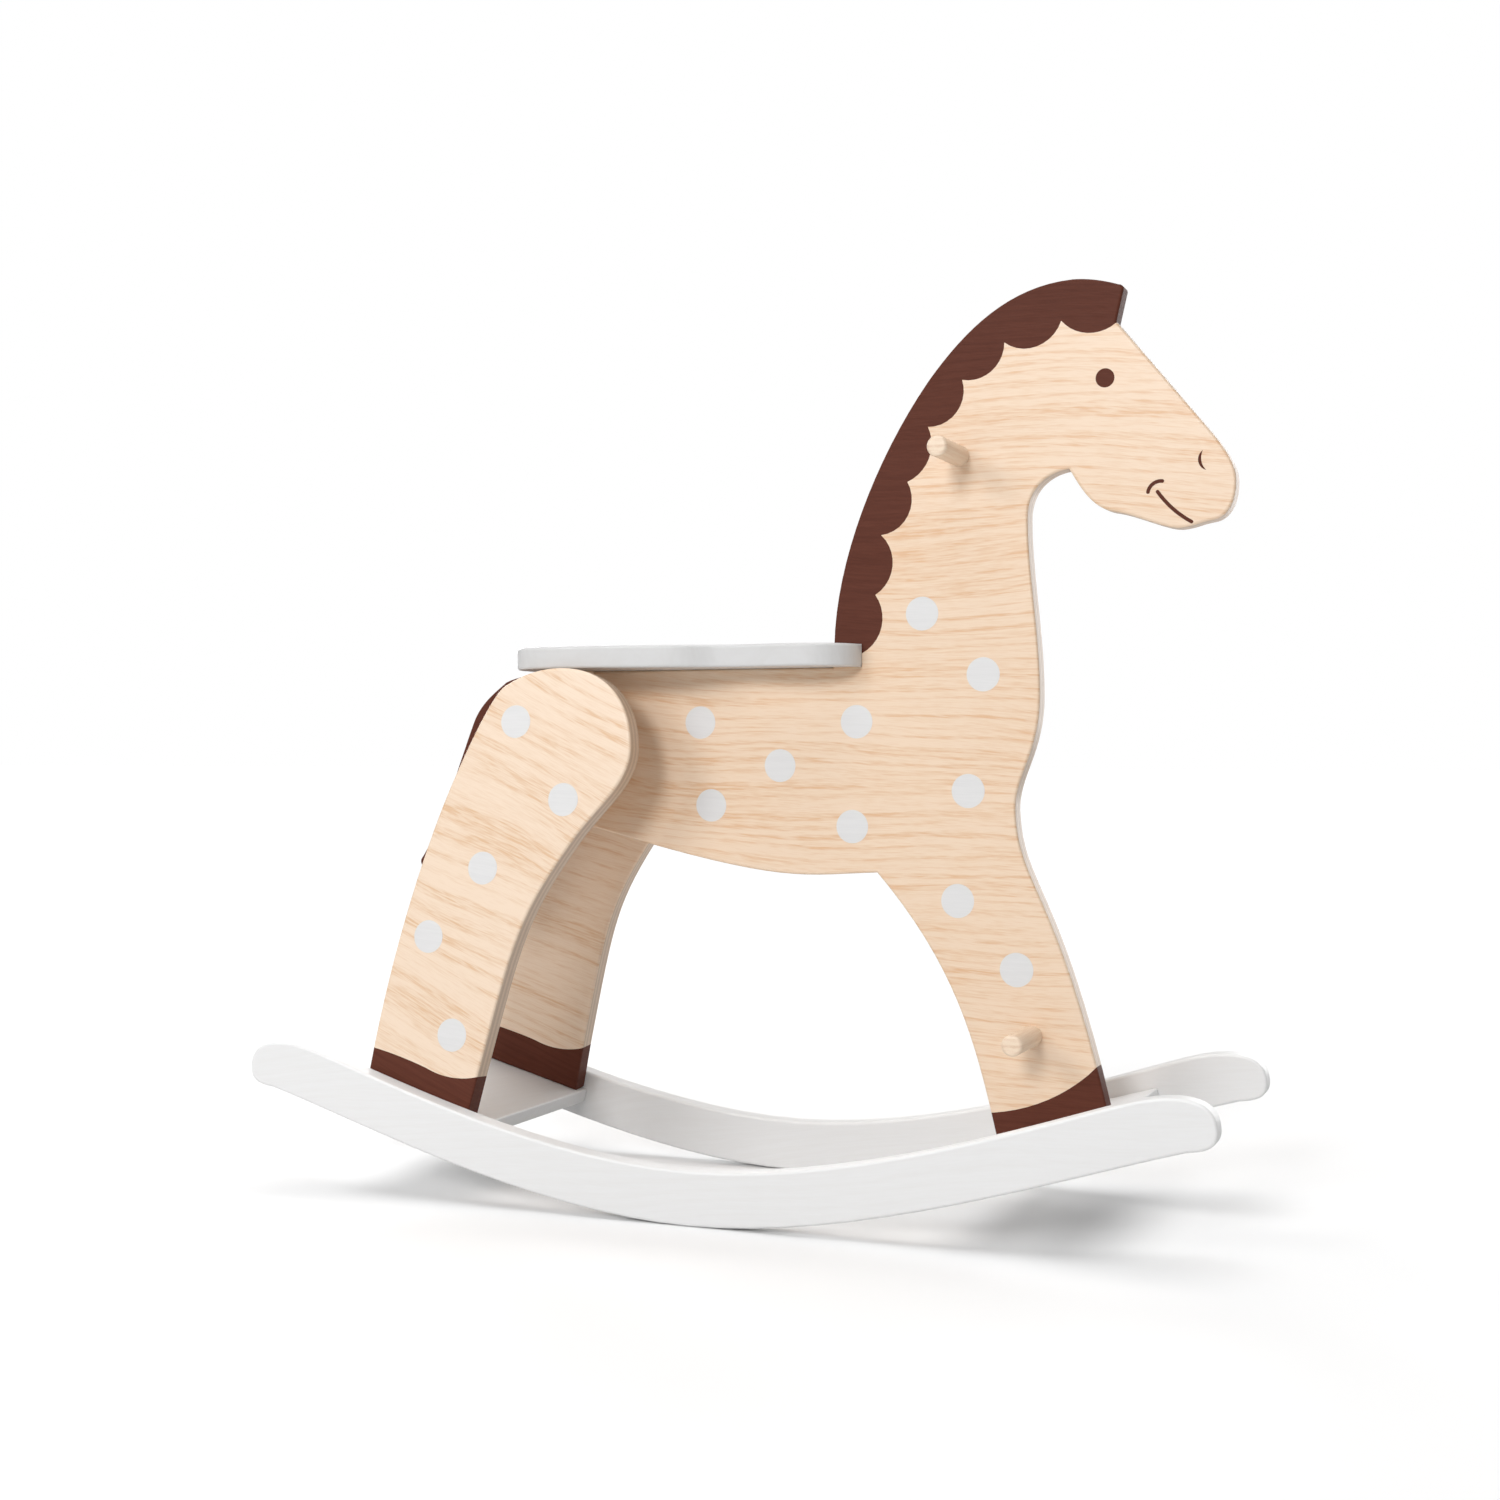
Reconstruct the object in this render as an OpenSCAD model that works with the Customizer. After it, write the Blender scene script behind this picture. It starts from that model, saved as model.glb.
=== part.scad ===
// Rocking horse in plywood: one shaped centre panel, two leaning rear legs, a seat board,
// and two rockers joined by two tilted cross boards. Millimetres.
// Origin: on the floor under the middle of the rockers. +X towards the head, +Y to the
// horse's left, +Z up.

/* [Boards] */
// Thickness of the plywood of the panel, legs, seat and rockers
ply = 15; // [12:1:18]
// Thickness of the two cross boards
cross_t = 10; // [8:1:12]
// Width of a cross board, along its slope
cross_w = 94; // [90:1:98]

/* [Stance] */
// Overall width, from rocker face to rocker face
overall_w = 205; // [195:1:215]
// Lean of the rear legs towards the middle, in degrees
leg_lean = 5; // [3:0.5:6]
// Slope of the cross boards, in degrees
cross_tilt = 16; // [14:1:18]

/* [Seat] */
// Height of the seat's underside above the floor
seat_z = 355; // [350:1:356]
// Half width of the seat at the back
seat_half_back = 54; // [50:1:58]
// Half width of the seat at the waist
seat_half_waist = 36; // [33:1:40]

/* [Handle and footrest] */
// Diameter of the handle and footrest dowels
bar_d = 13.5; // [12:0.5:15]
// Length of each dowel that stands out of the panel, per side
bar_reach = 50; // [40:1:60]
// Radius of the rounded dowel ends
bar_round = 2.5; // [1:0.5:4]

/* [Joinery] */
// Diameter of the thin wooden pins between rockers and cross boards
pin_d = 6; // [5:1:6]
// Diameter of the thick wooden pins in the seat and hip joints
peg_d = 8; // [6:1:8]
// Shank diameter of the wood screws
screw_d = 4; // [3.5:0.5:4.5]

/* [Hidden] */

clear_ply = [0.93, 0.80, 0.66];
white_paint = [0.93, 0.93, 0.93];
beech = [0.90, 0.76, 0.60];
zinc = [0.72, 0.73, 0.75];

steps = 16;                      // straight pieces in one curve
round_fn = 48;                   // sides of a drawn circle
fit_gap = 0.1;                   // radial clearance round every pin and screw
big = 400;                       // larger than any board, for trimming cuts
rocker_in = overall_w / 2 - ply; // inner face of a rocker, from the middle
panel_face = ply / 2;            // face of the centre panel, from the middle

// Where the cross boards' upper front edges lie, seen from the side
rear_edge = [-166, 48];
front_edge = [258, 75];

// Height of the front cross board's upper face at a distance x
function front_floor(x) = front_edge[1] + tan(cross_tilt) * (x - front_edge[0]);

// Height where a leaning leg's outer face meets the rocker's inner face
leg_foot_z = 60;

// Centres of the handle and the footrest, seen from the side
handle_at = [149, 490];
foot_at = [197, 118.5];

// Hip blocks: the wedges that hold the rear legs off the panel
hip_x = [-150, -113];
hip_z = 290;

// ---- curves ------------------------------------------------------------------------

// A smooth curve from a to d, pulled towards the handles b and c, without its first point
function curve(a, b, c, d) =
    [for (i = [1:steps]) let (t = i / steps, s = 1 - t)
        s * s * s * a + 3 * s * s * t * b + 3 * s * t * t * c + t * t * t * d];

// The last point of an outline's row
function row_end(row) = row[len(row) - 1];

// An outline: its first point, then rows. A row of one point is a straight line to it,
// and a row of three is a curve's two handles and its end.
function outline(start, rows) =
    [start, for (i = [0:len(rows) - 1])
        each (len(rows[i]) == 1 ? rows[i]
            : curve(i == 0 ? start : row_end(rows[i - 1]), rows[i][0], rows[i][1], rows[i][2]))];

// The same points in the opposite order with one axis turned over
function mirrored(points, sign) =
    [for (i = [len(points) - 1:-1:0]) [sign[0] * points[i][0], sign[1] * points[i][1]]];

// Side view of the centre panel: neck, head, chest, front leg, belly, tail and rump
panel_outline = outline([62, seat_z], [
    [[63, 370]],
    [[64, 425], [92, 492], [128, 540]],
    [[153, 572], [182, 597], [223, 598]],
    [[234, 598], [246, 595], [256, 591]],
    [[251, 569]],
    [[303, 505]],
    [[312, 494], [324, 480], [325, 468]],
    [[326, 452], [319, 443], [311, 442]],
    [[303, 441], [298, 438], [290, 438]],
    [[281, 438], [262, 448], [249, 450]],
    [[236, 453], [229, 464], [221, 478]],
    [[210, 477], [194, 470], [194, 448]],
    [[194, 413], [202, 375], [202, 335]],
    [[202, 298], [185, 284], [186, 261]],
    [[188, 213], [212, 215], [246, front_floor(246)]],
    [[174, front_floor(174)]],
    [[159, 116], [145, 162], [93, 220]],
    [[42, 218], [31, 209], [-110, 246]],
    [[-133, 252], [-158, 262], [-172, 268]],
    [[-186, 250], [-192, 224], [-212, 206]],
    [[-226, 194], [-246, 204], [-253, 221]],
    [[-238, 240], [-222, 288], [-209, 320]],
    [[-203, 334], [-192, 341], [-183, 348]],
    [[-178, 350.5], [-162, seat_z], [-140, seat_z]]
]);

// Rear leg, seen square to its face: x, and height along the face
leg_outline = outline([-174, 30], [
    [[-161, 85]],
    [[-138, 177], [-136, 189], [-97, 242]],
    [[-80, 265], [-54, 281], [-58, 308]],
    [[-60, 334], [-78, 356.5], [-112, 356.5]],
    [[-128, 356.5], [-141, 352], [-153, 345]],
    [[-161, 341], [-176, 312], [-189, 283]],
    [[-208, 241], [-232, 167], [-245, 86]],
    [[-254, 30]]
]);

// Half of a rocker's side view, from the middle of its upper edge to the middle below
rocker_half = outline([0, 35], [
    [[125, 35], [263, 95], [292, 99]],
    [[304, 101], [329, 103], [330, 83]],
    [[331, 72], [322, 70], [312, 69]],
    [[240, 49], [113, 0], [0, 0]]
]);

// Half of the seat's plan, from the back round to the notch for the neck
seat_half = outline([-160, 0], [
    [[-160, 24]],
    [[-160, 44], [-144, seat_half_back], [-120, seat_half_back]],
    [[-98, seat_half_back], [-66, seat_half_back + 1], [-38, 48]],
    [[-18, 43], [-16, seat_half_waist], [4, seat_half_waist]],
    [[18, seat_half_waist], [26, 40], [42, 40]],
    [[68, 40], [83, 28], [83, 9]],
    [[83, panel_face + fit_gap]],
    [[62 + fit_gap, panel_face + fit_gap]],
    [[62 + fit_gap, 0]]
]);

// ---- shared shapes -----------------------------------------------------------------

// A side-view outline as a board standing on edge across y = 0
module upright(points, thick) {
    translate([0, thick / 2, 0]) rotate([90, 0, 0]) linear_extrude(thick) polygon(points);
}

// A shape and its mirror image across the middle, or only the side that is asked for
module on_side(side) {
    if (side > 0) children();
    else mirror([0, 1, 0]) children();
}

// Moves to a cross board's frame: x along its slope from the front edge, z square to it
module on_rear_board() { translate([rear_edge[0], 0, rear_edge[1]]) rotate([0, cross_tilt, 0]) children(); }
module on_front_board() { translate([front_edge[0], 0, front_edge[1]]) rotate([0, -cross_tilt, 0]) children(); }

// A countersunk wood screw, or its hole with grow > 0: head at the origin, pointing +Z
module screw(length, diameter, grow = 0) {
    head_r = diameter;
    tip = diameter * 1.2;
    difference() {
        rotate_extrude($fn = round_fn) polygon([
            [0, 0], [head_r + grow, 0], [head_r + grow, 0.4],
            [diameter / 2 + grow, 0.4 + head_r - diameter / 2], [diameter / 2 + grow, length - tip],
            [0, length + grow]]);
        if (grow == 0) for (turn = [0, 90]) rotate([0, 0, turn])
            translate([-diameter * 0.6, -0.5, -1]) cube([diameter * 1.2, 1, 2.6]);
    }
}

// A wooden pin with chamfered ends, or its hole with grow > 0, centred and lying along +Z
module pin(length, diameter, grow = 0) {
    r = diameter / 2 + grow;
    h = length / 2 + grow;
    rotate_extrude($fn = round_fn) polygon(grow > 0
        ? [[0, -h], [r, -h], [r, h], [0, h]]
        : [[0, -h], [r - 0.8, -h], [r, -h + 0.8], [r, h - 0.8], [r - 0.8, h], [0, h]]);
}

// ---- where the hidden fasteners go -------------------------------------------------

board_pin_x = [-72, -22];        // along a cross board's slope, from its front edge
board_pin_l = 28;
board_pin_in = 10;               // depth in the rocker
module board_pins(grow = 0) {
    for (x = board_pin_x, s = [-1, 1])
        translate([x, s * (rocker_in + board_pin_in - board_pin_l / 2), -cross_t / 2])
            rotate([90, 0, 0]) pin(board_pin_l, pin_d, grow);
}

leg_screw_x = [-62, -24];        // up into a rear leg's foot, along the slope
leg_screw_y = 79;
foot_screw_x = [-66, -30];       // up into the panel's front foot, along the slope
foot_screw_l = 42;
module rear_screws(grow = 0) {
    for (x = leg_screw_x, s = [-1, 1])
        translate([x, s * leg_screw_y, -cross_t]) screw(foot_screw_l, screw_d, grow);
}
module front_screws(grow = 0) {
    for (x = foot_screw_x) translate([x, 0, -cross_t]) screw(foot_screw_l, screw_d, grow);
}

hip_screw_at = [[-141, 302], [-122, 326]];
hip_screw_d = 5;
hip_screw_l = 74;
hip_screw_head = 42;             // the heads' distance from the middle, inside the left block
module hip_screw_set(grow = 0) {
    for (p = hip_screw_at) translate([p[0], hip_screw_head, p[1]])
        rotate([90, 0, 0]) screw(hip_screw_l, hip_screw_d, grow);
}

hip_pin_at = [[-122, 302], [-141, 326]];
hip_pin_l = 26;
// Pins square to the leaning leg, half in the block and just short of the leg's outer face
module hip_pin_pair(grow = 0) {
    for (p = hip_pin_at) translate([p[0], leg_inner(p[1]) - 1, p[1]])
        rotate([-90 + leg_lean, 0, 0]) pin(hip_pin_l, peg_d, grow);
}

seat_pin_l = 26;
seat_pin_up = 9;                 // depth in the seat
seat_pin_at = [[-60, 0], [30, 0], [-120, 30], [-120, -30]];
module seat_pin_set(grow = 0) {
    for (p = seat_pin_at) translate([p[0], p[1], seat_z + seat_pin_up - seat_pin_l / 2])
        pin(seat_pin_l, peg_d, grow);
}

// Distance from the middle to a left leg's inner face at a height
function leg_inner(z) = rocker_in - tan(leg_lean) * (z - leg_foot_z) - ply / cos(leg_lean);

// A round bar through the panel with rounded ends and a slightly thinner middle that takes
// the glue, or its hole with grow > 0
module cross_bar(at, grow = 0) {
    r = bar_d / 2;
    half = panel_face + bar_reach;
    waist_r = r - 0.25;
    waist_half = panel_face + 0.5;
    round_part = curve([r, half - bar_round], [r, half - bar_round * 0.45],
                       [r - bar_round * 0.55, half], [r - bar_round, half]);
    free_end = concat([[waist_r, waist_half], [r, waist_half], [r, half - bar_round]],
                      round_part, [[0, half]]);
    translate([at[0], 0, at[1]]) rotate([90, 0, 0])
        if (grow > 0) cylinder(h = 2 * half, r = r + grow, center = true, $fn = round_fn);
        else rotate_extrude($fn = round_fn) polygon(concat(free_end, mirrored(free_end, [1, -1])));
}

// ---- the sub-parts -----------------------------------------------------------------

module horse_panel() {
    color(clear_ply) difference() {
        upright(panel_outline, ply);
        cross_bar(handle_at, fit_gap);
        cross_bar(foot_at, fit_gap);
        hip_screw_set(fit_gap);
        seat_pin_set(fit_gap);
        on_front_board() front_screws(fit_gap);
    }
}

// A rear leg: a leaning board, cut flat where it stands on the cross board and where it
// meets the rocker
module rear_leg(side) {
    color(clear_ply) difference() {
        on_side(side) difference() {
            translate([0, rocker_in, leg_foot_z]) rotate([leg_lean, 0, 0])
                translate([0, -ply / 2, -leg_foot_z]) upright(leg_outline, ply);
            translate([-big, rocker_in, 0]) cube(big);
            hip_pin_pair(fit_gap);
        }
        on_rear_board() translate([-big / 2, -big / 2, -big]) cube(big);
        on_rear_board() rear_screws(fit_gap);
    }
}

module seat_board() {
    color(white_paint) difference() {
        translate([0, 0, seat_z]) linear_extrude(ply)
            polygon(concat(seat_half, mirrored(seat_half, [1, -1])));
        seat_pin_set(fit_gap);
    }
}

module rocker(side) {
    color(white_paint) difference() {
        translate([0, side * (rocker_in + ply / 2), 0])
            upright(concat(rocker_half, mirrored(rocker_half, [-1, 1])), ply);
        on_rear_board() board_pins(fit_gap);
        on_front_board() board_pins(fit_gap);
    }
}

// A cross board in its own frame, between the rockers
module cross_board() {
    difference() {
        translate([-cross_w, -rocker_in, -cross_t]) cube([cross_w, 2 * rocker_in, cross_t]);
        board_pins(fit_gap);
    }
}

module rear_cross_board() {
    color(white_paint) on_rear_board() difference() { cross_board(); rear_screws(fit_gap); }
}

module front_cross_board() {
    color(white_paint) on_front_board() difference() { cross_board(); front_screws(fit_gap); }
}

module handle_bar() { color(beech) cross_bar(handle_at); }

module foot_bar() { color(beech) cross_bar(foot_at); }

// The wedge between the panel and a leaning leg, with its top under the seat
module hip_block(side) {
    color(beech) difference() {
        on_side(side) difference() {
            translate([0, leg_inner(hip_z), 0]) rotate([90, 0, 0])
                linear_extrude(leg_inner(hip_z) - panel_face) polygon([
                    [hip_x[0], hip_z], [hip_x[1], hip_z], [hip_x[1], seat_z],
                    [hip_x[1] - 13, seat_z], [hip_x[0], seat_z - 23]]);
            translate([0, leg_inner(hip_z), hip_z]) rotate([leg_lean, 0, 0])
                translate([-big, 0, -big / 2]) cube(big);
            hip_pin_pair(fit_gap);
        }
        hip_screw_set(fit_gap);
        // Clears the way for the screw heads from the left block's outer face
        for (p = hip_screw_at) translate([p[0], hip_screw_head, p[1]])
            rotate([-90, 0, 0]) cylinder(h = 30, r = hip_screw_d + fit_gap, $fn = round_fn);
        seat_pin_set(fit_gap);
    }
}

module hip_pins(side) { color(beech) on_side(side) hip_pin_pair(); }

module hip_screws() { color(zinc) hip_screw_set(); }

module seat_pins() { color(beech) seat_pin_set(); }

module rear_board_pins() { color(beech) on_rear_board() board_pins(); }

module front_board_pins() { color(beech) on_front_board() board_pins(); }

module rear_foot_screws() { color(zinc) on_rear_board() rear_screws(); }

module front_foot_screws() { color(zinc) on_front_board() front_screws(); }

horse_panel();
rear_leg(-1);  // rear_leg_right
rear_leg(1);  // rear_leg_left
seat_board();
rocker(-1);  // rocker_right
rocker(1);  // rocker_left
rear_cross_board();
front_cross_board();
handle_bar();
foot_bar();
hip_block(-1);  // hip_block_right
hip_block(1);  // hip_block_left
hip_pins(-1);  // hip_pins_right
hip_pins(1);  // hip_pins_left
hip_screws();
seat_pins();
rear_board_pins();
front_board_pins();
rear_foot_screws();
front_foot_screws();
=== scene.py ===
"""A child's rocking horse in lacquered and painted plywood.

Metres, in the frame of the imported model: the origin is on the floor under the middle of the
rockers, +X towards the head, +Y to the horse's left, +Z up.
"""

import math

import bmesh
import bpy
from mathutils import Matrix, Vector
from mathutils.geometry import intersect_point_line


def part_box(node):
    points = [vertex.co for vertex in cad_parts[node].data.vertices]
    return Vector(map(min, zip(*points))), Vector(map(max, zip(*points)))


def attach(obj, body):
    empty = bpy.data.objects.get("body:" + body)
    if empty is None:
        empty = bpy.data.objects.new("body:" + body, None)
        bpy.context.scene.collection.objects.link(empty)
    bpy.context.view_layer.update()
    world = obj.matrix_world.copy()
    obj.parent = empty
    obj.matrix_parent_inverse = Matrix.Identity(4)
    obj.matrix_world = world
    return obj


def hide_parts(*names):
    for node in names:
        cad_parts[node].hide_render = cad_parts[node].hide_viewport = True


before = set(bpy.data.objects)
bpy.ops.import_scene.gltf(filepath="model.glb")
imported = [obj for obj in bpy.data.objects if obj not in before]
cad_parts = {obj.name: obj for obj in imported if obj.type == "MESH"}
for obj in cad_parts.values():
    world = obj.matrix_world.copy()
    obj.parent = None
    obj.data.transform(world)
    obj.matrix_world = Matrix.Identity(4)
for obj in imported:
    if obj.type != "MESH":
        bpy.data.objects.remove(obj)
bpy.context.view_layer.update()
scene = bpy.context.scene

MM = 0.001
RIGHT = Vector((0, -1, 0))  # out of the horse's right side, the one that faces the camera
LEFT = Vector((0, 1, 0))
UP = Vector((0, 0, 1))

EDGE_ROUND = 1.8 * MM  # radius sanded on every board's edges
CORNER_ROUND = 2.6 * MM  # radius of the sawn corners, seen square to a board
WHITE_ROUND = 2 * MM  # the same on the seat and the rockers
CROSS_ROUND = 1.2 * MM  # the same on the cross boards
BLOCK_ROUND = 0.8 * MM  # the same on the hip blocks
BAR_ROUND = 2.2 * MM  # radius of the bars' rounded ends
FILM = 0.12 * MM  # how far a paint mark stands proud of the wood
LEG_PLY = 15 * MM  # thickness of a rear leg
SNAP = 0.3 * MM  # a paint line ends in a corner that is this near
SPARE = 4 * MM  # extra length on a leg's foot, cut off again flush with the cross board
GROWTH = 0.0062  # distance between the panel's growth lines
LEG_GROWTH = 0.011  # the same on the legs


# ---- outlines ----------------------------------------------------------------------


def arc_through(a, b, c, steps):
    """Points of the round arc from a through b to c, in a plane, a left out."""
    ax, az, bx, bz, cx, cz = *a, *b, *c
    d = 2 * (ax * (bz - cz) + bx * (cz - az) + cx * (az - bz))
    aa, bb, cc = ax * ax + az * az, bx * bx + bz * bz, cx * cx + cz * cz
    ox = (aa * (bz - cz) + bb * (cz - az) + cc * (az - bz)) / d
    oz = (aa * (cx - bx) + bb * (ax - cx) + cc * (bx - ax)) / d
    start, middle, end = (math.atan2(p[1] - oz, p[0] - ox) for p in (a, b, c))
    turn = (end - start) % math.tau
    if (middle - start) % math.tau > turn:
        turn -= math.tau
    radius = math.hypot(ax - ox, az - oz)
    angles = [start + turn * i / steps for i in range(1, steps + 1)]
    return [(ox + radius * math.cos(t), oz + radius * math.sin(t)) for t in angles]


def arcs(points, steps=10):
    """A line of round arcs: points are a cusp, a point that the arc bulges to, a cusp, ..."""
    line = [points[0]]
    for i in range(0, len(points) - 2, 2):
        line += arc_through(*points[i : i + 3], steps)
    return line


def ribbon(line, width):
    """The outline of a stroke of one width along a line, with round ends."""
    half = width / 2
    left, right = [], []
    for i, (x, z) in enumerate(line):
        before, after = line[max(i - 1, 0)], line[min(i + 1, len(line) - 1)]
        heading = math.atan2(after[1] - before[1], after[0] - before[0])
        left.append((x - half * math.sin(heading), z + half * math.cos(heading)))
        right.append((x + half * math.sin(heading), z - half * math.cos(heading)))
    caps = []
    for end, inner in ((line[-1], line[-2]), (line[0], line[1])):
        heading = math.atan2(end[1] - inner[1], end[0] - inner[0])
        turns = [heading + math.pi / 2 - math.pi * i / 8 for i in range(1, 8)]
        caps.append([(end[0] + half * math.cos(t), end[1] + half * math.sin(t)) for t in turns])
    return left + caps[0] + right[::-1] + caps[1]


def face_points(node, out):
    """The corners, in order, of the flat face of a CAD node that looks along out."""
    bm = bmesh.new()
    bm.from_mesh(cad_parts[node].data)
    bmesh.ops.remove_doubles(bm, verts=bm.verts, dist=0.002 * MM)
    bm.normal_update()
    others = [f for f in bm.faces if f.normal.dot(out) < 0.9999]
    bmesh.ops.delete(bm, geom=others, context="FACES")
    rim = {e for e in bm.edges if e.is_boundary}
    first = min((v for e in rim for v in e.verts), key=lambda v: v.co.x)
    corner, points = first, []
    while rim:
        edge = next((e for e in corner.link_edges if e in rim), None)
        if edge is None:
            break
        rim.remove(edge)
        points.append(corner.co.copy())
        corner = edge.other_vert(corner)
    bm.free()
    return points


def top_plane(node):
    """A point and the normal of the flat face of a CAD node that looks most upwards."""
    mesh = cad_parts[node].data
    best = max(mesh.polygons, key=lambda p: (round(p.normal.z, 4), p.area))
    return best.center.copy(), best.normal.copy()


def on_plane(point, origin, normal):
    """Whether a point lies in a plane."""
    return abs((point - origin).dot(normal)) < 0.02 * MM


def spot_on(points, x, z):
    """The point over (x, z) in the upright or leaning plane of a board's corners."""
    origin = points[0]
    normal = plane_normal(points)
    y = origin.y - (normal.x * (x - origin.x) + normal.z * (z - origin.z)) / normal.y
    return Vector((x, y, z))


def swept(points):
    """Square to a closed flat line of corners, with twice its area for a length."""
    total = Vector((0, 0, 0))
    for a, b in zip(points, points[1:] + points[:1]):
        total += a.cross(b)
    return total


def plane_normal(points):
    """The unit normal of a closed flat line of corners."""
    return swept(points).normalized()


def area(points):
    """The area inside a closed flat line of corners."""
    return swept(points).length / 2


def meet(points, target):
    """The place in a closed line of corners nearest to target, added where it has none."""

    def gap(i):
        a, b = points[i], points[(i + 1) % len(points)]
        near, share = intersect_point_line(target, a, b)
        near = a if share < 0 else b if share > 1 else near
        return (target - near).length

    i = min(range(len(points)), key=gap)
    j = (i + 1) % len(points)
    near, share = intersect_point_line(target, points[i], points[j])
    length = (points[i] - points[j]).length
    if share * length < SNAP:
        return i
    if (1 - share) * length < SNAP:
        return j
    points.insert(i + 1, near)
    return i + 1


def part_off(points, line):
    """Cuts a closed line of corners in two along a line across it, given as (x, z) in mm.

    Returns the smaller part, the larger part and the points of the cut."""
    points = list(points)
    cut = [spot_on(points, x * MM, z * MM) for x, z in line]
    ends = []
    for target in (cut[0], cut[-1]):
        ends.append(points[meet(points, target)])
    start, stop = (points.index(p) for p in ends)
    count = len(points)
    one_way = [points[(start + i) % count] for i in range((stop - start) % count + 1)]
    other_way = [points[(stop + i) % count] for i in range((start - stop) % count + 1)]
    inner = cut[1:-1]
    parts = [one_way + inner[::-1], other_way + inner]
    parts.sort(key=area)
    return parts[0], parts[1], [ends[0], *inner, ends[1]]


# ---- mesh pieces -------------------------------------------------------------------


def finish_piece(name, bm, material, nodes=(), sharp=35):
    """Turns a bmesh into a piece of the horse: smooth where it is round, sharp elsewhere."""
    bmesh.ops.remove_doubles(bm, verts=bm.verts, dist=0.001 * MM)
    bmesh.ops.recalc_face_normals(bm, faces=bm.faces)
    mesh = bpy.data.meshes.new(name)
    bm.to_mesh(mesh)
    bm.free()
    mesh.polygons.foreach_set("use_smooth", [True] * len(mesh.polygons))
    mesh.set_sharp_from_angle(angle=math.radians(sharp))
    mesh.materials.append(material)
    piece = bpy.data.objects.new(name, mesh)
    scene.collection.objects.link(piece)
    weighted = piece.modifiers.new("flat faces stay flat", "WEIGHTED_NORMAL")
    weighted.keep_sharp = True
    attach(piece, "root")
    if nodes:
        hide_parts(*nodes)
    return piece


def rounded_corners(points, radius, angle=38):
    """A closed line of corners with its sharp outer corners rounded."""
    bm = bmesh.new()
    verts = [bm.verts.new(p) for p in points]
    face = bm.faces.new(verts)
    normal = plane_normal(points)
    sharp = []
    for loop in face.loops:
        before = (loop.vert.co - loop.link_loop_prev.vert.co).normalized()
        after = (loop.link_loop_next.vert.co - loop.vert.co).normalized()
        if before.angle(after) > math.radians(angle) and before.cross(after).dot(normal) > 0:
            sharp.append(loop.vert)
    bmesh.ops.bevel(
        bm, geom=sharp, offset=radius, offset_type="OFFSET", segments=5, profile=0.5,
        affect="VERTICES", clamp_overlap=True, material=-1,
    )
    bm.faces.ensure_lookup_table()
    rounded = [v.co.copy() for v in bm.faces[0].verts]
    bm.free()
    return rounded


def board(points, out, thick, seams=(), trims=(), rests=(), round_off=EDGE_ROUND):
    """A flat face's corners made a board that goes back from it, against out.

    Its outer edges are rounded, but not along seams, where it meets a painted or a clear
    part of the same board, nor in the planes of trims, which cut it, or of rests."""
    bm = bmesh.new()
    face = bm.faces.new([bm.verts.new(p) for p in points])
    grown = bmesh.ops.extrude_face_region(bm, geom=[face])["geom"]
    back = [g for g in grown if isinstance(g, bmesh.types.BMVert)]
    bmesh.ops.translate(bm, verts=back, vec=-thick * out)
    bmesh.ops.recalc_face_normals(bm, faces=bm.faces)
    for origin, normal in trims:
        everything = [*bm.verts, *bm.edges, *bm.faces]
        bmesh.ops.bisect_plane(
            bm, geom=everything, dist=1e-7, plane_co=origin, plane_no=normal, clear_outer=True
        )
        bmesh.ops.holes_fill(bm, edges=[e for e in bm.edges if e.is_boundary], sides=0)
    bmesh.ops.recalc_face_normals(bm, faces=bm.faces)
    origin = points[0]
    marks = {corner_key(p, origin, out) for p in seams}

    def outer(edge):
        if len(edge.link_faces) != 2 or edge.calc_face_angle() < math.radians(60):
            return False
        if all(corner_key(v.co, origin, out) in marks for v in edge.verts):
            return False
        along = (edge.verts[0].co - edge.verts[1].co).normalized()
        if abs(along.dot(out)) > 0.5:
            return False
        return not any(
            all(on_plane(v.co, *plane) for v in edge.verts) for plane in (*trims, *rests)
        )

    bmesh.ops.bevel(
        bm, geom=[e for e in bm.edges if outer(e)], offset=round_off, offset_type="OFFSET",
        segments=4, profile=0.5, affect="EDGES", clamp_overlap=False, material=-1,
    )
    return bm


def corner_key(point, origin, out):
    """A point dropped to a board's face, in whole hundredths of a millimetre."""
    flat = point - (point - origin).dot(out) * out
    return tuple(round(c / (0.01 * MM)) for c in flat)


def block(node, round_off):
    """A CAD node's outer shape, without its holes, with every edge rounded."""
    bm = bmesh.new()
    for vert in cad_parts[node].data.vertices:
        bm.verts.new(vert.co)
    bmesh.ops.remove_doubles(bm, verts=bm.verts, dist=0.002 * MM)
    bmesh.ops.convex_hull(bm, input=bm.verts)
    bmesh.ops.delete(bm, geom=[v for v in bm.verts if not v.link_faces], context="VERTS")
    bmesh.ops.dissolve_limit(
        bm, angle_limit=math.radians(0.5), verts=bm.verts, edges=bm.edges
    )
    bmesh.ops.bevel(
        bm, geom=list(bm.edges), offset=round_off, offset_type="OFFSET", segments=3,
        profile=0.5, affect="EDGES", clamp_overlap=True, material=-1,
    )
    return bm


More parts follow.
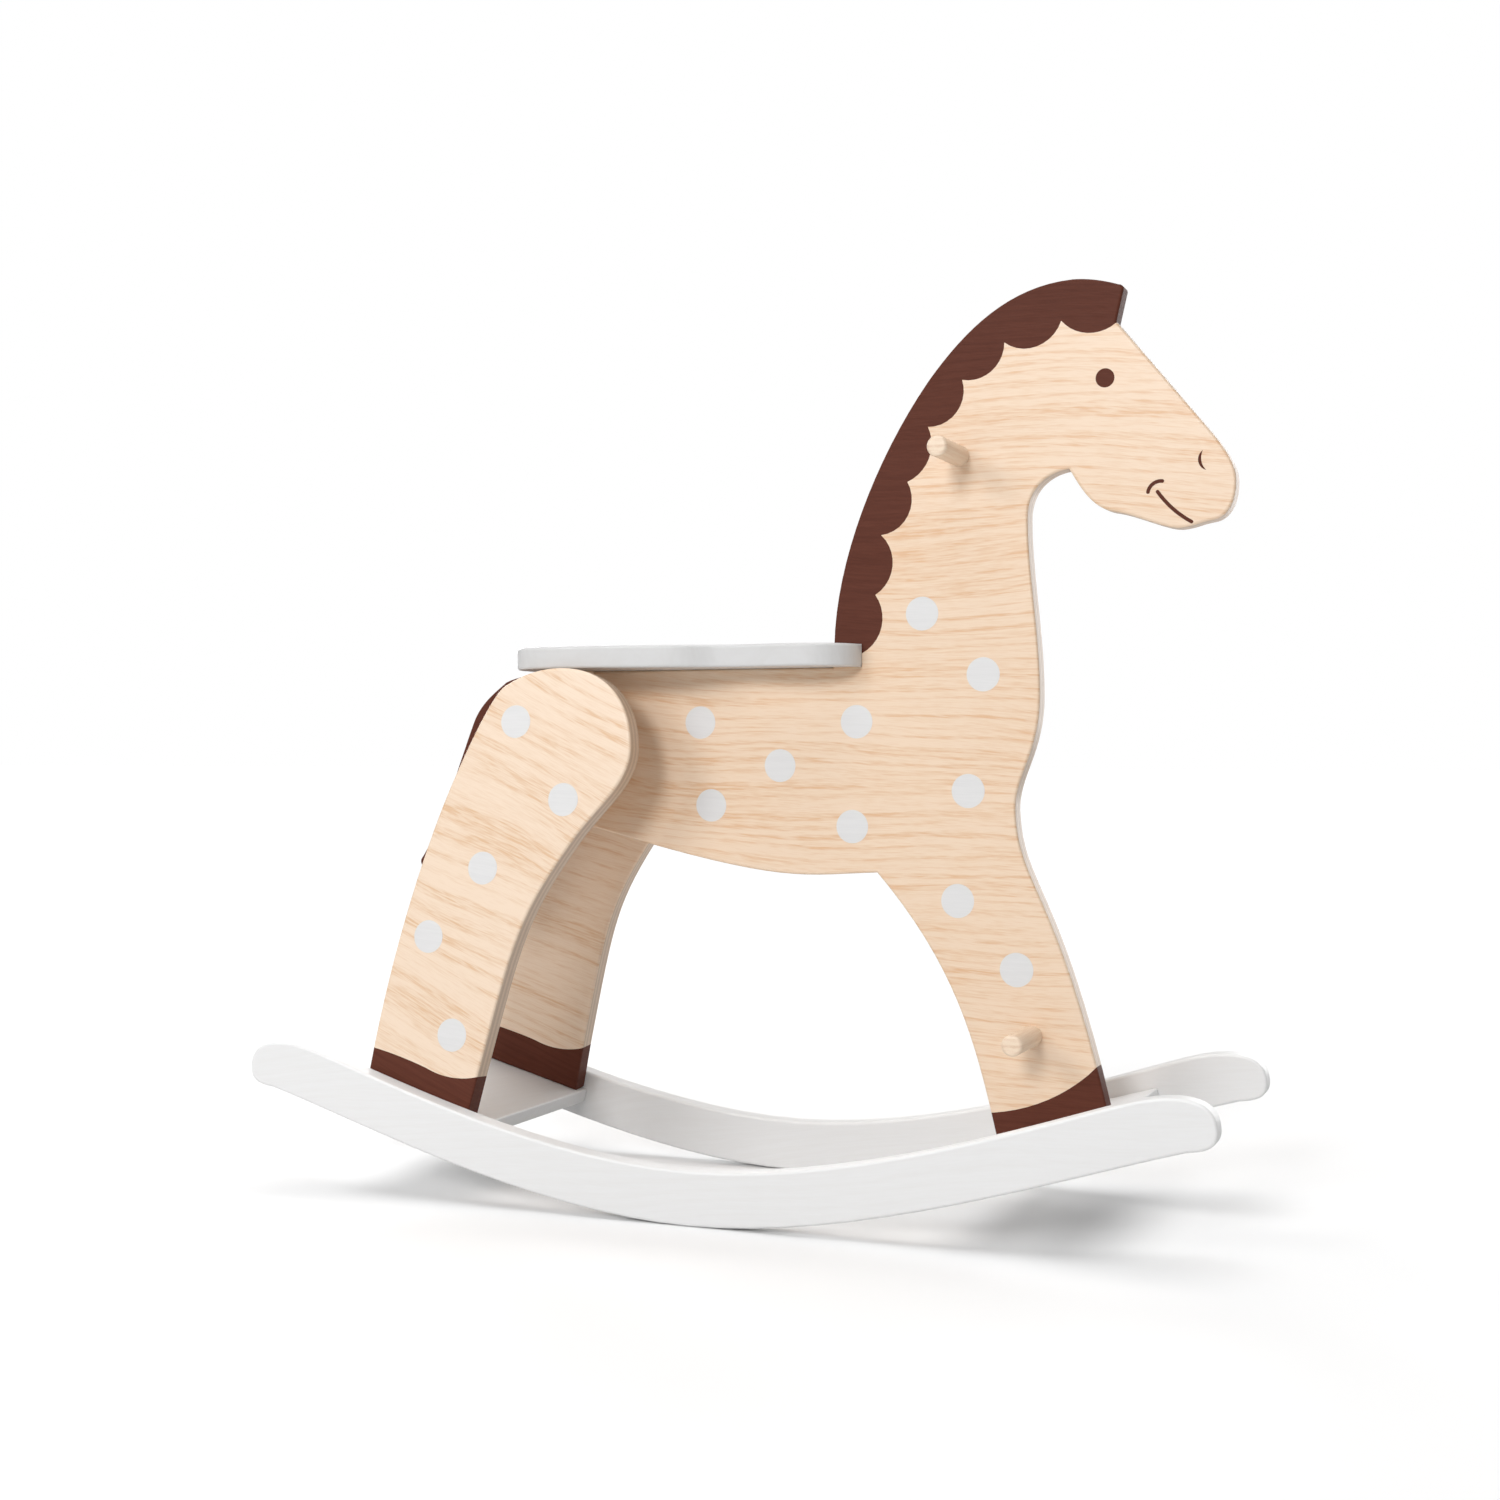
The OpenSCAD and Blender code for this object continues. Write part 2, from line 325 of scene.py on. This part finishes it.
def film(outline, plane, out):
    """A thin coat of paint: an (x, z) outline in mm on a board's face, sunk a little."""
    bm = bmesh.new()
    corners = [spot_on(plane, x * MM, z * MM) + FILM * out for x, z in outline]
    face = bm.faces.new([bm.verts.new(p) for p in corners])
    grown = bmesh.ops.extrude_face_region(bm, geom=[face])["geom"]
    back = [g for g in grown if isinstance(g, bmesh.types.BMVert)]
    bmesh.ops.translate(bm, verts=back, vec=-4 * FILM * out)
    bmesh.ops.recalc_face_normals(bm, faces=bm.faces)
    front = max(bm.faces, key=lambda f: f.normal.dot(out))
    bmesh.ops.bevel(
        bm, geom=list(front.edges), offset=0.6 * FILM, offset_type="OFFSET", segments=2,
        profile=0.5, affect="EDGES", clamp_overlap=False, material=-1,
    )
    return bm


def joined(parts):
    """Several bmeshes in one."""
    whole = bmesh.new()
    for part in parts:
        carrier = bpy.data.meshes.new("part")
        part.to_mesh(carrier)
        whole.from_mesh(carrier)
        bpy.data.meshes.remove(carrier)
        part.free()
    return whole


def circle(x, z, radius, sides=64):
    """A round outline in the (x, z) plane."""
    turns = [math.tau * i / sides for i in range(sides)]
    return [(x + radius * math.cos(t), z + radius * math.sin(t)) for t in turns]


# ---- shaders -----------------------------------------------------------------------


class Wire:
    """A number or colour on its way through a finish's nodes. Arithmetic adds Math nodes."""

    def __init__(self, kit, socket):
        self.kit = kit
        self.socket = socket

    def math(self, operation, *others):
        return self.kit.add("Math", [self, *others], operation=operation)

    def __add__(self, other):
        return self.math("ADD", other)

    __radd__ = __add__

    def __mul__(self, other):
        return self.math("MULTIPLY", other)

    __rmul__ = __mul__

    def __sub__(self, other):
        return self.math("SUBTRACT", other)

    def __rsub__(self, other):
        return self.kit.add("Math", [other, self], operation="SUBTRACT")

    def __truediv__(self, other):
        return self.math("DIVIDE", other)


class Finish:
    """A material of the horse, built node by node."""

    def __init__(self, name):
        self.material = bpy.data.materials.new(name)
        self.material.use_nodes = True
        self.tree = self.material.node_tree
        self.surface = self.tree.nodes["Principled BSDF"]

    def add(self, kind, inputs=(), out=0, stops=None, **settings):
        """Adds a node: its settings, a ramp's stops, then the values or wires of its inputs."""
        node = self.tree.nodes.new("ShaderNode" + kind)
        for name, value in settings.items():
            setattr(node, name, value)
        if stops:
            while len(node.color_ramp.elements) < len(stops):
                node.color_ramp.elements.new(0.5)
            for element, (place, colour) in zip(node.color_ramp.elements, stops):
                element.position = place
                element.color = (*colour, 1)
        pairs = inputs.items() if isinstance(inputs, dict) else enumerate(inputs)
        for key, value in pairs:
            if isinstance(value, Wire):
                self.tree.links.new(value.socket, node.inputs[key])
            else:
                node.inputs[key].default_value = value
        return Wire(self, node.outputs[out])

    def noise(self, vector, detail=2.0, roughness=0.5):
        """Smooth noise from 0 to 1, mostly near a half."""
        inputs = {"Vector": vector, "Scale": 1.0, "Detail": detail, "Roughness": roughness}
        return self.add("TexNoise", inputs)

    def point(self, x, y, z):
        return self.add("CombineXYZ", [x, y, z])

    def parts(self, vector):
        """The three numbers of a vector."""
        split = self.add("SeparateXYZ", [vector])
        return [Wire(self, output) for output in split.socket.node.outputs]

    def ranged(self, value, low, high, to_low=0.0, to_high=1.0):
        """value taken smoothly from low..high to to_low..to_high, and held beyond them."""
        inputs = {
            "Value": value, "From Min": low, "From Max": high, "To Min": to_low, "To Max": to_high,
        }
        return self.add("MapRange", inputs, interpolation_type="SMOOTHSTEP")

    def blend(self, share, a, b, way="MIX"):
        """Colour a mixed with colour b by share. a and b are wires or (r, g, b)."""
        pair = [c if isinstance(c, Wire) else (*c, 1) for c in (a, b)]
        inputs = {0: share, 6: pair[0], 7: pair[1]}
        return self.add("Mix", inputs, out=2, data_type="RGBA", blend_type=way)

    def set(self, **values):
        """Sets the surface's sockets, by name with _ for a space."""
        for name, value in values.items():
            socket = self.surface.inputs[name.replace("_", " ")]
            if isinstance(value, Wire):
                self.tree.links.new(value.socket, socket)
            else:
                socket.default_value = value

    def bump(self, height, strength, distance):
        """Surface relief from a height."""
        inputs = {"Height": height, "Strength": strength, "Distance": distance}
        self.set(Normal=self.add("Bump", inputs))


def grain(kit, turn, shift=(0, 0, 0), spacing=GROWTH):
    """Wood in a board's own directions: its growth lines, strokes, fibres and slow tone, each
    from 0 to 1, and the distance through the board. turn lays the board's grain along X and
    its face along Z."""
    place = kit.add("TexCoord", out="Object")
    spot = kit.add("Mapping", {"Vector": place, "Rotation": turn, "Location": shift})
    along, across, through = kit.parts(spot)
    sway = kit.noise(kit.point(along * 3.2, across * 7, through * 6), 1.0)
    ripple = kit.noise(kit.point(along * 9, across * 50, through * 20), 1.0)
    bent = across + along * 0.03 + (sway - 0.5) * 0.055 + (ripple - 0.5) * 0.003
    wave = (bent * (math.tau / spacing) + ripple * 6).math("SINE")
    uneven = kit.noise(kit.point(along * 5.5, bent * (1.7 / spacing), through * 40), 2.0, 0.6)
    lines = kit.ranged(wave * 0.07 + uneven, 0.38, 0.70)
    combed = bent + along * 0.04
    strokes = kit.noise(kit.point(along * 50, combed * 750, through * 120), 2.0, 0.6)
    fibres = kit.noise(kit.point(along * 110, combed * 1700, through * 400), 1.0)
    tone = kit.noise(kit.point(along * 3, across * 18, through * 5), 1.0)
    return {
        "lines": lines,
        "strokes": kit.ranged(strokes, 0.36, 0.66),
        "fibres": fibres,
        "tone": tone,
        "through": through,
    }


def clear_wood(name, turn, shift, middle, pale, warm, deep, spacing=GROWTH):
    """Pale veneered plywood under satin lacquer. middle is the board's middle, through it."""
    kit = Finish(name)
    wood = grain(kit, turn, shift, spacing)
    figure = wood["lines"] * 0.32 + wood["lines"] * wood["strokes"] * 0.42
    figure = figure + wood["strokes"] * 0.22 + (wood["fibres"] - 0.5) * 0.85
    figure = figure + (wood["tone"] - 0.5) * 0.5
    face = kit.add("ValToRGB", [figure], stops=[(0.05, pale), (0.45, warm), (0.95, deep)])
    depth = (wood["through"] - middle).math("ABSOLUTE")
    ply = kit.ranged(((wood["through"] - middle) * (math.tau / 0.005)).math("SINE"), -0.5, 0.5)
    inner = kit.ranged(depth, 0.0060, 0.0066, 1.0, 0.0)
    core = kit.blend(ply, (0.54, 0.395, 0.285), (0.67, 0.51, 0.375))
    core = kit.blend(wood["fibres"] * 0.4, core, (0.45, 0.32, 0.225))
    kit.set(
        Base_Color=kit.blend(inner, face, core),
        Roughness=kit.ranged(wood["fibres"] + inner * 0.3, 0.3, 0.9, 0.36, 0.5),
        IOR=1.5,
        Coat_Weight=0.25,
        Coat_Roughness=0.3,
    )
    kit.bump(wood["fibres"] * 0.6 + wood["strokes"] * 0.4 + ply * inner * 0.5, 0.1, 0.0002)
    return kit.material


def painted_wood(name, turn, shift, colour, shade, roughness, relief, shine=0.5):
    """Satin paint that lets the wood's grain show a little, going towards shade in it."""
    kit = Finish(name)
    wood = grain(kit, turn, shift)
    telegraph = wood["strokes"] * 0.4 + wood["lines"] * 0.4 + (wood["fibres"] - 0.3) * 0.4
    kit.set(
        Base_Color=kit.blend(telegraph, colour, shade),
        Roughness=kit.ranged(wood["fibres"] + wood["tone"] * 0.5, 0.4, 1.0, roughness - 0.04,
                             roughness + 0.06),
        IOR=1.5,
        Specular_IOR_Level=shine,
    )
    kit.bump(wood["fibres"] * 0.5 + wood["strokes"] * 0.5, relief, 0.00015)
    return kit.material


def brown_paint(name, turn, shift=(0, 0, 0)):
    """The dark brown paint of mane, tail, hooves and face."""
    return painted_wood(name, turn, shift, BROWN, BROWN_DEEP, roughness=0.52, relief=0.25,
                        shine=0.12)


def bar_wood(name, centre):
    """Turned beech: long fine grain along the bar, and growth lines across its ends."""
    kit = Finish(name)
    place = kit.add("TexCoord", out="Object")
    x, y, z = kit.parts(place)
    x, z = x - centre[0], z - centre[1]
    sway = kit.noise(kit.point(x * 60, y * 12, z * 60), 1.0)
    rings = kit.noise(kit.point(x * 60, y * 8, (z + (sway - 0.5) * 0.004) * 520), 2.0, 0.6)
    pores = kit.noise(kit.point(x * 1600, y * 110, z * 1600), 1.0)
    figure = kit.ranged(rings, 0.35, 0.68) * 0.7 + (pores - 0.4) * 0.5
    colour = kit.add(
        "ValToRGB", [figure],
        stops=[(0.0, (0.86, 0.70, 0.54)), (0.5, (0.80, 0.61, 0.45)), (1.0, (0.68, 0.48, 0.32))],
    )
    kit.set(Base_Color=colour, Roughness=kit.ranged(pores, 0.3, 0.7, 0.36, 0.48), IOR=1.5,
            Coat_Weight=0.2, Coat_Roughness=0.3)
    kit.bump(pores + rings * 0.5, 0.2, 0.0002)
    return kit.material


def zinc_plate():
    """Bright zinc with the fine marks of rolling and driving."""
    kit = Finish("zinc_plate")
    place = kit.add("TexCoord", out="Object")
    x, y, z = kit.parts(place)
    marks = kit.noise(kit.point(x * 2500, y * 2500, z * 300), 2.0)
    cloud = kit.noise(kit.point(x * 300, y * 300, z * 300), 1.0)
    kit.set(
        Base_Color=kit.blend(cloud, (0.52, 0.53, 0.55), (0.68, 0.68, 0.66)),
        Metallic=1.0,
        Roughness=kit.ranged(marks + cloud * 0.4, 0.4, 1.0, 0.24, 0.45),
    )
    kit.bump(marks, 0.2, 0.00005)
    return kit.material


# ---- finishes ----------------------------------------------------------------------

UPRIGHT = (math.radians(-90), 0, 0)  # lays an upright board down
LEG_SLANT = 20  # degrees that the legs' grain slants down to the front
FLAT = (0, 0, 0)
ROCKER_GRAIN = (math.radians(-90), 0, math.radians(-9))

PALE, WARM, DEEP = (0.84, 0.65, 0.485), (0.795, 0.575, 0.395), (0.735, 0.46, 0.27)
LEG_PALE, LEG_WARM, LEG_DEEP = (0.86, 0.685, 0.53), (0.81, 0.615, 0.45), (0.73, 0.48, 0.29)
BROWN, BROWN_DEEP = (0.116, 0.0345, 0.0205), (0.090, 0.025, 0.0145)
WHITE, WHITE_SHADE = (0.81, 0.81, 0.81), (0.785, 0.78, 0.775)
# the seat's white and its grain tint are darker copies of the rockers' paint: painted shade on the
# seat
SHADED_SEAT_WHITE, SHADED_SEAT_GRAIN = (0.65, 0.65, 0.65), (0.62, 0.615, 0.61)
DOT, DOT_SHADE = (0.73, 0.725, 0.725), (0.695, 0.69, 0.69)


# ---- painted lines and marks: side views, as (x, z) in mm --------------------------

MANE_LINE = [
    (251, 568), (233, 563), (216, 572), (193, 556), (179, 561), (159, 538.5), (151, 539),
    (152, 530), (128, 510), (130, 504), (114, 475), (117, 462), (96, 441), (104, 424),
    (92, 402), (97, 386), (83, 364), (74, 360), (62, 358),
]
TAIL_LINE = [
    (-152, 355), (-146, 340), (-158, 327), (-151, 314), (-163, 301), (-159, 284), (-172, 268),
]
FRONT_HOOF_LINE = [(171, 68), (202, 76), (239, 101)]
REAR_HOOF_LINE = [(-243, 96.5), (-222, 91.5), (-201, 85), (-179, 79.5), (-161.5, 81)]

PANEL_DOTS = [
    (124, 389), (165, 349), (79, 319), (25, 290), (-33, 319), (155, 274), (-25, 263),
    (76, 250), (148, 203), (187, 160),
]
LEG_DOTS = [(-143.5, 319.5), (-105.5, 267.5), (-164, 221), (-203.5, 174), (-182, 109)]
DOT_RADIUS = 11
EYE = (244, 534)
EYE_RADIUS = 6
NOSTRIL = [(305, 485.5), (302, 479), (307, 473)]
NOSTRIL_INNER = [(307, 473), (304, 479), (305, 485.5)]
MOUTH_CORNER = [(271, 461), (273.5, 465.5), (280, 467.5)]
MOUTH = [(277, 461), (286, 450.5), (298, 441.5)]
MOUTH_WIDTH = 2.3


# ---- the boards --------------------------------------------------------------------


def thickness(node, axis):
    """How thick a CAD node's box is along an axis."""
    low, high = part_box(node)
    return high[axis] - low[axis]


def panel():
    """The centre panel: clear wood, with mane, tail and front hoof painted right round.

    Returns the corners of its right face."""
    face = rounded_corners(face_points("horse_panel", RIGHT), CORNER_ROUND)
    thick = thickness("horse_panel", 1)
    rests = [top_plane("front_cross_board")]
    mane, clear, mane_cut = part_off(face, arcs(MANE_LINE))
    tail, clear, tail_cut = part_off(clear, arcs(TAIL_LINE))
    hoof, clear, hoof_cut = part_off(clear, arcs(FRONT_HOOF_LINE))
    wood = clear_wood("panel_veneer", UPRIGHT, (0, 0, 0), 0.0, PALE, WARM, DEEP)
    brown = brown_paint("panel_brown", UPRIGHT)
    seams = mane_cut + tail_cut + hoof_cut
    for name, part, material, slot in (
        ("horse_body", clear, wood, "clear_ply"),
        ("mane_paint", mane, brown, "brown_paint"),
        ("tail_paint", tail, brown, "brown_paint"),
        ("front_hoof_paint", hoof, brown, "brown_paint"),
    ):
        bm = board(part, RIGHT, thick, seams, rests=rests)
        finish_piece(name, bm, material, ["horse_panel"])
    return face


def rear_leg(name, side, shift):
    """A leaning rear leg, with its hoof painted. Returns its outer face and that face's normal."""
    node = f"rear_leg_{name}"
    inner = inner_normal(node, side)
    face = face_points(node, inner)
    stand = top_plane("rear_cross_board")
    rocker_low, rocker_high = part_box(f"rocker_{name}")
    rocker_face = rocker_high.y if side < 0 else rocker_low.y
    beside = (Vector((0, rocker_face, 0)), Vector((0, side, 0)))
    below = (stand[0], -stand[1])
    down = Vector((0, side * abs(inner.z), -abs(inner.y)))
    grown = [p + SPARE * down if on_plane(p, *stand) else p for p in face]
    hoof, clear, cut = part_off(grown, arcs(REAR_HOOF_LINE))
    lay = (math.atan2(-inner.y, -inner.z), 0, math.radians(-side * LEG_SLANT))
    middle = (face[0] - LEG_PLY / 2 * inner).dot(-inner)
    wood = clear_wood(f"{node}_veneer", lay, shift, middle, LEG_PALE, LEG_WARM, LEG_DEEP,
                      LEG_GROWTH)
    brown = brown_paint(f"{node}_brown", lay, shift)
    for piece, part, material, slot in (
        (f"{node}_board", clear, wood, "clear_ply"),
        (f"rear_hoof_paint_{name}", hoof, brown, "brown_paint"),
    ):
        bm = board(part, inner, LEG_PLY, cut, trims=[beside, below])
        finish_piece(piece, bm, material, [node])
    outer = [p - LEG_PLY * inner for p in face]
    return outer, -inner


def inner_normal(node, side):
    """The normal of the broad face of a rear leg that looks towards the middle."""
    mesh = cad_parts[node].data
    facing = [p for p in mesh.polygons if p.normal.y * side < -0.9]
    best = max(facing, key=lambda p: p.area)
    return best.normal.copy()


def paint_marks(face):
    """The dots and the face's features, on both sides of the panel."""
    dot = painted_wood("dot_white", UPRIGHT, (0, 0, 0), DOT, DOT_SHADE, 0.42, 0.2)
    brown = brown_paint("mark_brown", UPRIGHT)
    thick = thickness("horse_panel", 1)
    other = [p + thick * LEFT for p in face]
    for side, plane, out in (("right", face, RIGHT), ("left", other, LEFT)):
        dots = [film(circle(x, z, DOT_RADIUS), plane, out) for x, z in PANEL_DOTS]
        finish_piece(f"body_dots_{side}", joined(dots), dot)
        eye = film(circle(*EYE, EYE_RADIUS), plane, out)
        finish_piece(f"eye_{side}", eye, brown)
        crescent = arcs(NOSTRIL) + arcs(NOSTRIL_INNER)[1:-1]
        finish_piece(f"nostril_{side}", film(crescent, plane, out), brown)
        strokes = [film(ribbon(arcs(s), MOUTH_WIDTH), plane, out) for s in (MOUTH_CORNER, MOUTH)]
        finish_piece(f"mouth_{side}", joined(strokes), brown)


def leg_marks(name, plane, out):
    """The dots on a rear leg's outer face."""
    dot = bpy.data.materials["dot_white"]
    dots = [film(circle(x, z, DOT_RADIUS), plane, out) for x, z in LEG_DOTS]
    finish_piece(f"leg_dots_{name}", joined(dots), dot)


def white_boards():
    """Seat, rockers and cross boards in white satin paint; the seat's white is a darker copy,
    painted shade.
    """
    white = painted_wood("rocker_white", ROCKER_GRAIN, (0, 0, 0), WHITE, WHITE_SHADE, 0.4, 0.08)
    # the seat gets the same white paint made darker: painted shade
    seat_white_painted_shade = painted_wood("seat_white_painted_shade", FLAT, (0, 0, 0), SHADED_SEAT_WHITE, SHADED_SEAT_GRAIN, 0.36, 0.08)
    cross_white = painted_wood("cross_white", (0, 0, math.radians(90)), (0, 0, 0), WHITE,
                               WHITE_SHADE, 0.4, 0.08)
    seat = rounded_corners(face_points("seat_board", UP), CORNER_ROUND)
    bm = board(seat, UP, thickness("seat_board", 2), round_off=WHITE_ROUND)
    finish_piece("seat", bm, seat_white_painted_shade, ["seat_board"])
    for name, out in (("right", RIGHT), ("left", LEFT)):
        rim = face_points(f"rocker_{name}", out)
        bm = board(rim, out, thickness(f"rocker_{name}", 1), round_off=WHITE_ROUND)
        finish_piece(f"{name}_rocker", bm, white, [f"rocker_{name}"])
    for node in ("rear_cross_board", "front_cross_board"):
        bm = block(node, CROSS_ROUND)
        finish_piece(f"{node}_painted", bm, cross_white, [node])


def bar(node, piece):
    """A turned bar with its ends rounded over."""
    low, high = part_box(node)
    centre = (low + high) / 2
    radius, half = (high.z - low.z) / 2, (high.y - low.y) / 2
    quarter = [
        (radius - BAR_ROUND * (1 - math.cos(t)), half - BAR_ROUND * (1 - math.sin(t)))
        for t in (math.radians(15 * i) for i in range(7))
    ]
    profile = [(0, half), *quarter[::-1], *((r, -y) for r, y in quarter), (0, -half)]
    bm = bmesh.new()
    verts = [bm.verts.new((centre.x + r, centre.y + y, centre.z)) for r, y in profile]
    edges = [bm.edges.new(pair) for pair in zip(verts, verts[1:])]
    bmesh.ops.spin(
        bm, geom=verts + edges, cent=centre, axis=LEFT, angle=math.tau, steps=64, use_merge=True
    )
    material = bar_wood(f"{piece}_wood", (centre.x, centre.z))
    finish_piece(piece, bm, material, [node])


def hidden_joinery():
    """Blocks, pins and screws inside the joints."""
    beech = clear_wood("block_beech", (0, math.radians(90), 0), (0, 0, 0), 1.0,
                       PALE, WARM, DEEP)
    for side in ("right", "left"):
        bm = block(f"hip_block_{side}", BLOCK_ROUND)
        finish_piece(f"hip_wedge_{side}", bm, beech, [f"hip_block_{side}"])
    zinc = zinc_plate()
    for node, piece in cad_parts.items():
        if "pins" in node or "screws" in node:
            piece.data.materials.clear()
            piece.data.materials.append(zinc if "screws" in node else beech)


panel_face = panel()
paint_marks(panel_face)
for leg, side, shift in (("right", -1, (0.3, 0.1, 0)), ("left", 1, (0.9, 0.4, 0))):
    leg_face, leg_out = rear_leg(leg, side, shift)
    leg_marks(leg, leg_face, leg_out)
white_boards()
bar("handle_bar", "handle")
bar("foot_bar", "footrest")
hidden_joinery()


# ---- studio ------------------------------------------------------------------------

ROOM_LIGHT = 0.2


def floor():
    """A plain pale floor."""
    bm = bmesh.new()
    bmesh.ops.create_grid(bm, x_segments=4, y_segments=4, size=30)
    mesh = bpy.data.meshes.new("floor")
    bm.to_mesh(mesh)
    bm.free()
    kit = Finish("floor_white")
    seen = kit.add("LightPath", out="Is Camera Ray")
    tone = kit.blend(seen, (0.65, 0.65, 0.65), (0.87, 0.87, 0.87))
    place = kit.add("TexCoord", out="Object")
    reach = kit.add("VectorMath", [place], out="Value", operation="LENGTH")
    far = kit.ranged(reach, 0.7, 1.6) * seen
    kit.set(
        Base_Color=kit.blend(far, tone, (0, 0, 0)),
        Roughness=0.9,
        Specular_IOR_Level=0.1,
        Emission_Color=kit.blend(far, (0, 0, 0), (1.02, 1.02, 1.02)),
        Emission_Strength=1.0,
    )
    mesh.materials.append(kit.material)
    piece = bpy.data.objects.new("floor", mesh)
    scene.collection.objects.link(piece)


def lamp(name, kind, place, aim, energy, **settings):
    """A light at a place, turned to look at aim."""
    data = bpy.data.lights.new(name, kind)
    data.energy = energy
    for key, value in settings.items():
        setattr(data, key, value)
    light = bpy.data.objects.new(name, data)
    light.location = place
    light.rotation_euler = (Vector(aim) - Vector(place)).to_track_quat("-Z", "Y").to_euler()
    scene.collection.objects.link(light)


def studio():
    """A white room with soft light from above, ahead and both sides, and a rim light behind."""
    world = bpy.data.worlds.new("studio")
    world.use_nodes = True
    scene.world = world
    tree = world.node_tree
    seen = tree.nodes.new("ShaderNodeLightPath")
    pick = tree.nodes.new("ShaderNodeMix")
    tree.links.new(seen.outputs["Is Camera Ray"], pick.inputs[0])
    pick.inputs[2].default_value = ROOM_LIGHT
    pick.inputs[3].default_value = 1.0
    tree.links.new(pick.outputs[0], tree.nodes["Background"].inputs["Strength"])
    tree.nodes["Background"].inputs["Color"].default_value = (1, 1, 1, 1)
    lamp("overhead", "SUN", (0, 0, 3), (0, 0, 0), 1.75, angle=math.radians(52))
    lamp("key", "AREA", (0.0, -4.5, 2.0), (0.1, 0, 0.4), 80, shape="DISK", size=1.2)
    lamp("side", "AREA", (-1.4, -2.5, 1.6), (0, 0, 0.3), 26, shape="DISK", size=1.2)
    lamp("rim", "AREA", (0.9, 2.8, 0.9), (0.1, 0, 0.3), 36, shape="SQUARE", size=2.0)
    lamp("back", "AREA", (-2.0, 2.4, 1.2), (0, 0, 0.3), 36, shape="DISK", size=1.6)


def camera():
    """The camera, level, looking a little from the front of the horse's right side."""
    data = bpy.data.cameras.new("camera")
    data.lens = 50
    data.sensor_width = 36
    eye = bpy.data.objects.new("camera", data)
    eye.location = (0.5318, -1.3025, 0.3004)
    eye.rotation_euler = (math.radians(90), 0, math.radians(22.2))
    scene.collection.objects.link(eye)
    scene.camera = eye


floor()
studio()
camera()
scene.view_settings.view_transform = "Standard"
